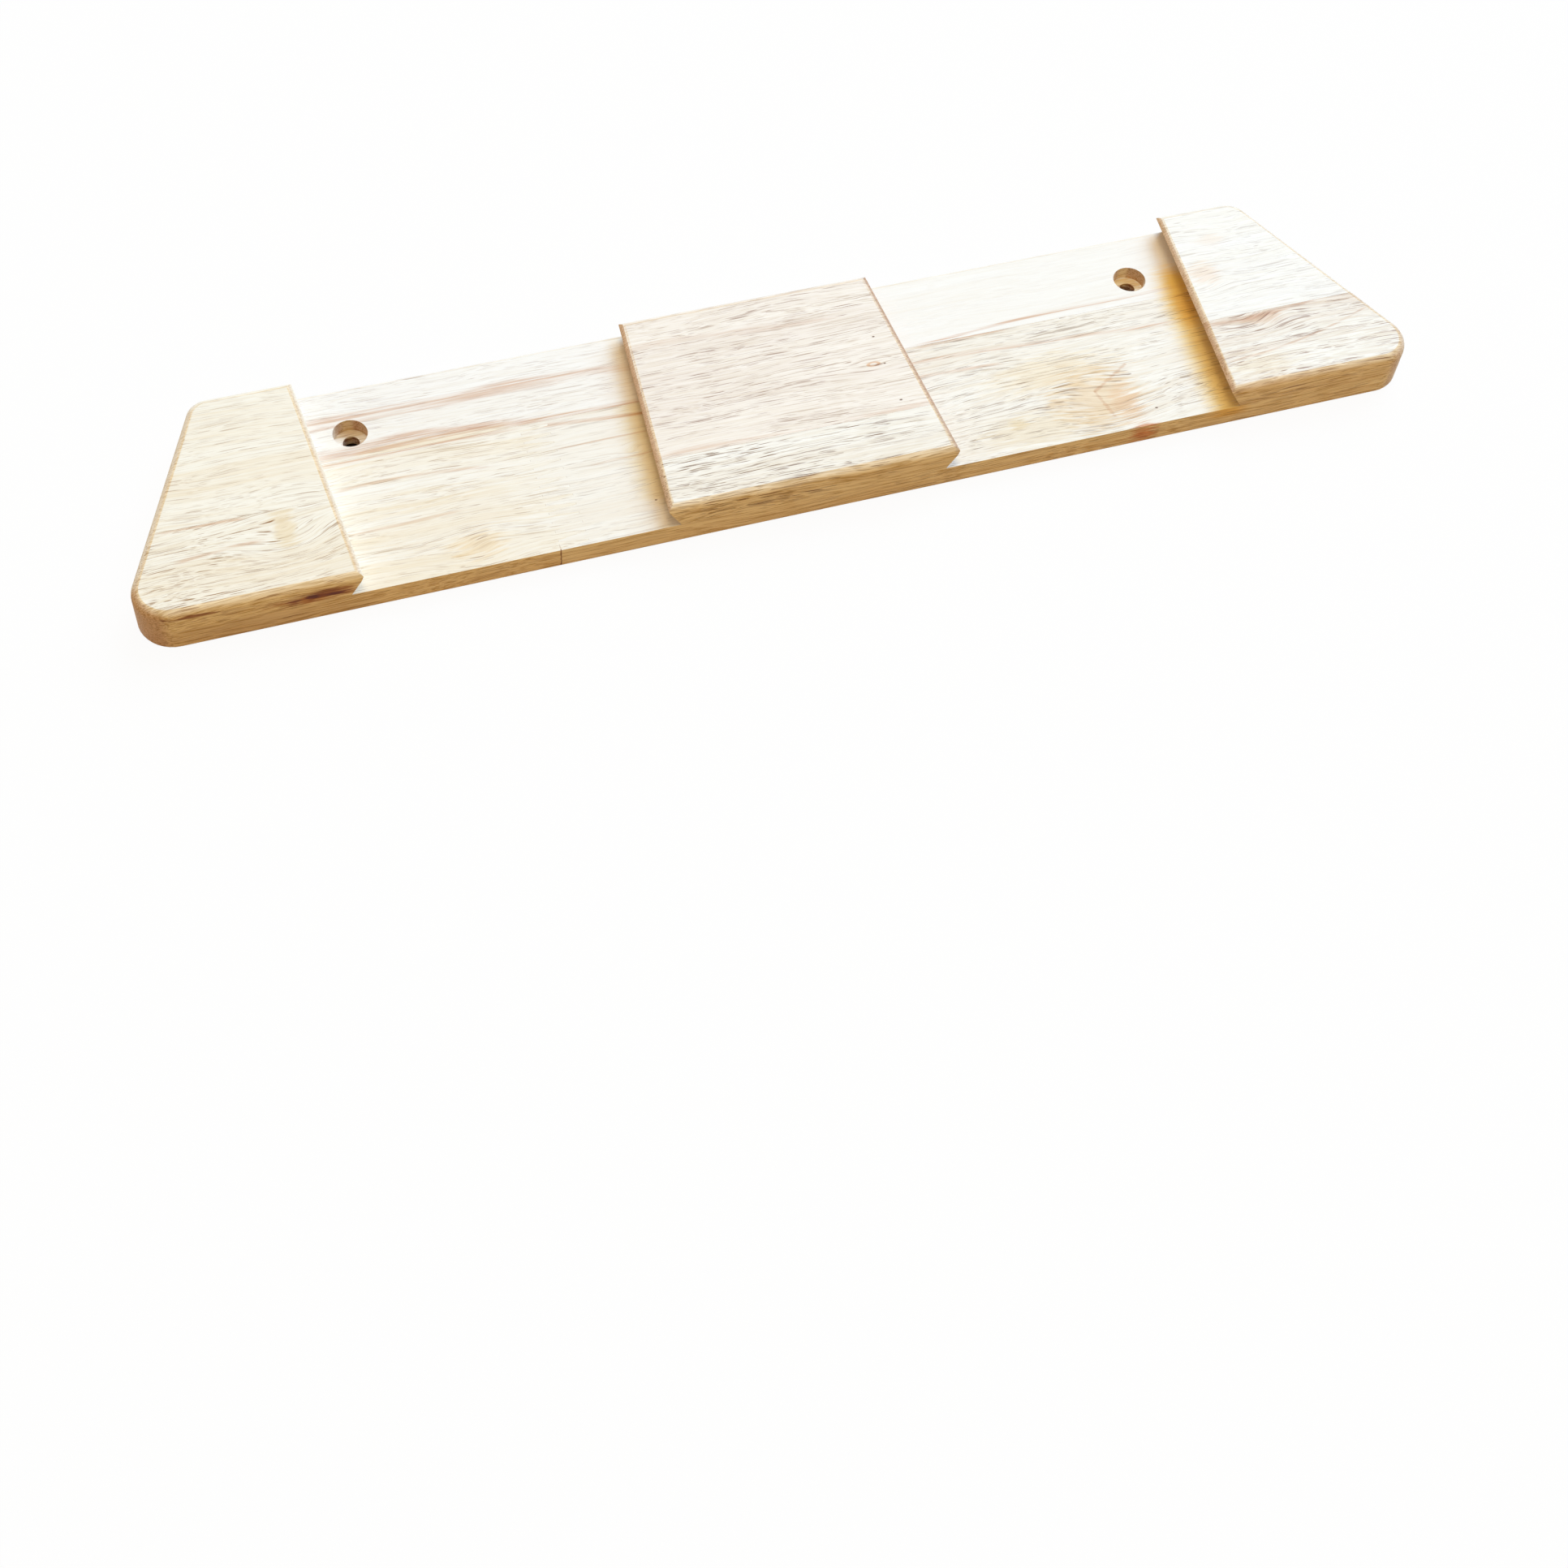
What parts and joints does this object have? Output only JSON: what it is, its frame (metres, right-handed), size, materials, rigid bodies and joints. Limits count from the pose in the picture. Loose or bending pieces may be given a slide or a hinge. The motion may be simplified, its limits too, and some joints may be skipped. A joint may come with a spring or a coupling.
{
  "type": "ski wall rack",
  "caption": "Flat wooden wall rack: a backboard with raised blocks, whose undercut sides form tapering slots that hold ski tips.",
  "frame": {"origin": "centre of the backboard's back face, the one that goes against the wall", "axes": "+Z out of the wall, +Y up the wall to the rack's short edge, +X to the right as seen from the front"},
  "size_m": [0.457, 0.089, 0.017],
  "materials": {
    "rubberwood": "planed and sanded, clear matt lacquer",
    "pale_rubberwood": "planed and sanded, clear matt lacquer",
    "pink_rubberwood": "planed and sanded, clear matt lacquer",
    "zinc_steel": "zinc plated, satin"
  },
  "bodies": {
    "root": {"backboard_upper_stave": "rubberwood", "backboard_lower_left_stave": "pink_rubberwood", "backboard_lower_right_stave": "pale_rubberwood", "left_block_upper_stave": "rubberwood", "left_block_lower_stave": "pale_rubberwood", "middle_block_upper_stave": "pink_rubberwood", "middle_block_lower_stave": "pale_rubberwood", "right_block_upper_stave": "pale_rubberwood", "right_block_lower_stave": "rubberwood", "left_block_upper_screw": "zinc_steel", "left_block_lower_screw": "zinc_steel", "middle_block_left_screw": "zinc_steel", "middle_block_right_screw": "zinc_steel", "right_block_upper_screw": "zinc_steel", "right_block_lower_screw": "zinc_steel"}
  },
  "joints": []
}
